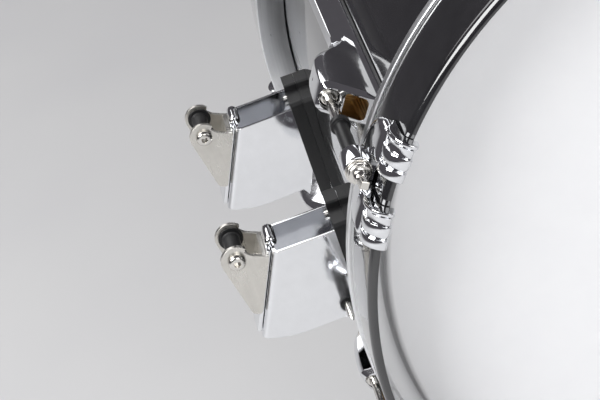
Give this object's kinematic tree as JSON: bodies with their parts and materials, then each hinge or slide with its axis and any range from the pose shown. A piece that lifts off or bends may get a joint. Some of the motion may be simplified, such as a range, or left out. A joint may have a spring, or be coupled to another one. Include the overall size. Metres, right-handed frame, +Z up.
{
  "type": "marching bass drum",
  "caption": "Marching bass drum with recessed white heads, wooden hoops held by claws and tension rods, and a pair of chrome carrier brackets with rollers.",
  "frame": {"origin": "midway between the two carrier rollers, on the line through both roller axes", "axes": "+X along the drum's axis towards the front head, +Y from the rollers horizontally across the shell, +Z up with the drum as it is carried"},
  "size_m": [0.4488, 0.5703, 0.517],
  "materials": {
    "shell_lacquer": "gloss lacquer",
    "hoop_lacquer": "gloss lacquer",
    "film": "smooth satin",
    "aluminium": "brushed",
    "chrome": "mirror",
    "nickel": "satin",
    "steel": "polished",
    "black_plastic": "satin",
    "black_rubber": "satin"
  },
  "bodies": {
    "drum": {"shell": "shell_lacquer", "vent_grommet": "steel", "head_front": "film", "flesh_hoop_front": "aluminium", "hoop_front": "hoop_lacquer", "head_rear": "film", "flesh_hoop_rear": "aluminium", "hoop_rear": "hoop_lacquer", "lug_1": "chrome", "lug_2": "chrome", "lug_3": "chrome", "lug_4": "chrome", "lug_5": "chrome", "lug_6": "chrome", "lug_7": "chrome", "lug_8": "chrome", "lug_gaskets": "black_plastic", "lug_screws": "steel", "swivel_nuts_front": "steel", "swivel_nuts_rear": "steel", "rod_bushings_front": "black_plastic", "rod_bushings_rear": "black_plastic", "rod_washers_front": "steel", "rod_washers_rear": "steel", "claws_front": "chrome", "claws_rear": "chrome", "claw_pads_front": "black_rubber", "claw_pads_rear": "black_rubber", "channel_front": "chrome", "channel_rear": "chrome", "bracket_base_front": "black_plastic", "bracket_base_rear": "black_plastic", "bracket_saddle_front": "black_rubber", "bracket_saddle_rear": "black_rubber", "bracket_backing_plates": "steel", "bracket_bolts": "steel", "yoke_front": "nickel", "yoke_rear": "nickel", "yoke_screws": "steel", "roller_bolts": "steel", "roller_washers": "black_plastic", "roller_nuts": "steel"},
    "rod_front_1": {"rod_front_1": "steel"},
    "rod_front_2": {"rod_front_2": "steel"},
    "rod_front_3": {"rod_front_3": "steel"},
    "rod_front_4": {"rod_front_4": "steel"},
    "rod_front_5": {"rod_front_5": "steel"},
    "rod_front_6": {"rod_front_6": "steel"},
    "rod_front_7": {"rod_front_7": "steel"},
    "rod_front_8": {"rod_front_8": "steel"},
    "rod_rear_1": {"rod_rear_1": "steel"},
    "rod_rear_2": {"rod_rear_2": "steel"},
    "rod_rear_3": {"rod_rear_3": "steel"},
    "rod_rear_4": {"rod_rear_4": "steel"},
    "rod_rear_5": {"rod_rear_5": "steel"},
    "rod_rear_6": {"rod_rear_6": "steel"},
    "rod_rear_7": {"rod_rear_7": "steel"},
    "rod_rear_8": {"rod_rear_8": "steel"},
    "roller_front": {"roller_front": "black_rubber"},
    "roller_rear": {"roller_rear": "black_rubber"}
  },
  "joints": [
    {"name": "rod_front_1_turn", "type": "hinge", "parent": "drum", "child": "rod_front_1", "pos_m": [0.15, 0.08132, 0.09861], "axis": [1, 0, 0], "continuous": true},
    {"name": "rod_front_2_turn", "type": "hinge", "parent": "drum", "child": "rod_front_2", "pos_m": [0.15, 0.05326, -0.09608], "axis": [1, 0, 0], "continuous": true},
    {"name": "rod_front_3_turn", "type": "hinge", "parent": "drum", "child": "rod_front_3", "pos_m": [0.15, 0.17109, -0.25358], "axis": [1, 0, 0], "continuous": true},
    {"name": "rod_front_4_turn", "type": "hinge", "parent": "drum", "child": "rod_front_4", "pos_m": [0.15, 0.36578, -0.28164], "axis": [1, 0, 0], "continuous": true},
    {"name": "rod_front_5_turn", "type": "hinge", "parent": "drum", "child": "rod_front_5", "pos_m": [0.15, 0.52328, -0.16381], "axis": [1, 0, 0], "continuous": true},
    {"name": "rod_front_6_turn", "type": "hinge", "parent": "drum", "child": "rod_front_6", "pos_m": [0.15, 0.55134, 0.03088], "axis": [1, 0, 0], "continuous": true},
    {"name": "rod_front_7_turn", "type": "hinge", "parent": "drum", "child": "rod_front_7", "pos_m": [0.15, 0.43351, 0.18838], "axis": [1, 0, 0], "continuous": true},
    {"name": "rod_front_8_turn", "type": "hinge", "parent": "drum", "child": "rod_front_8", "pos_m": [0.15, 0.23882, 0.21644], "axis": [1, 0, 0], "continuous": true},
    {"name": "rod_rear_1_turn", "type": "hinge", "parent": "drum", "child": "rod_rear_1", "pos_m": [-0.15, 0.08132, 0.09861], "axis": [-1, 0, 0], "continuous": true},
    {"name": "rod_rear_2_turn", "type": "hinge", "parent": "drum", "child": "rod_rear_2", "pos_m": [-0.15, 0.05326, -0.09608], "axis": [-1, 0, 0], "continuous": true},
    {"name": "rod_rear_3_turn", "type": "hinge", "parent": "drum", "child": "rod_rear_3", "pos_m": [-0.15, 0.17109, -0.25358], "axis": [-1, 0, 0], "continuous": true},
    {"name": "rod_rear_4_turn", "type": "hinge", "parent": "drum", "child": "rod_rear_4", "pos_m": [-0.15, 0.36578, -0.28164], "axis": [-1, 0, 0], "continuous": true},
    {"name": "rod_rear_5_turn", "type": "hinge", "parent": "drum", "child": "rod_rear_5", "pos_m": [-0.15, 0.52328, -0.16381], "axis": [-1, 0, 0], "continuous": true},
    {"name": "rod_rear_6_turn", "type": "hinge", "parent": "drum", "child": "rod_rear_6", "pos_m": [-0.15, 0.55134, 0.03088], "axis": [-1, 0, 0], "continuous": true},
    {"name": "rod_rear_7_turn", "type": "hinge", "parent": "drum", "child": "rod_rear_7", "pos_m": [-0.15, 0.43351, 0.18838], "axis": [-1, 0, 0], "continuous": true},
    {"name": "rod_rear_8_turn", "type": "hinge", "parent": "drum", "child": "rod_rear_8", "pos_m": [-0.15, 0.23882, 0.21644], "axis": [-1, 0, 0], "continuous": true},
    {"name": "roller_front_turn", "type": "hinge", "parent": "drum", "child": "roller_front", "pos_m": [0.0762, 0, 0], "axis": [1, 0, 0], "continuous": true},
    {"name": "roller_rear_turn", "type": "hinge", "parent": "drum", "child": "roller_rear", "pos_m": [-0.0762, 0, 0], "axis": [1, 0, 0], "continuous": true}
  ]
}
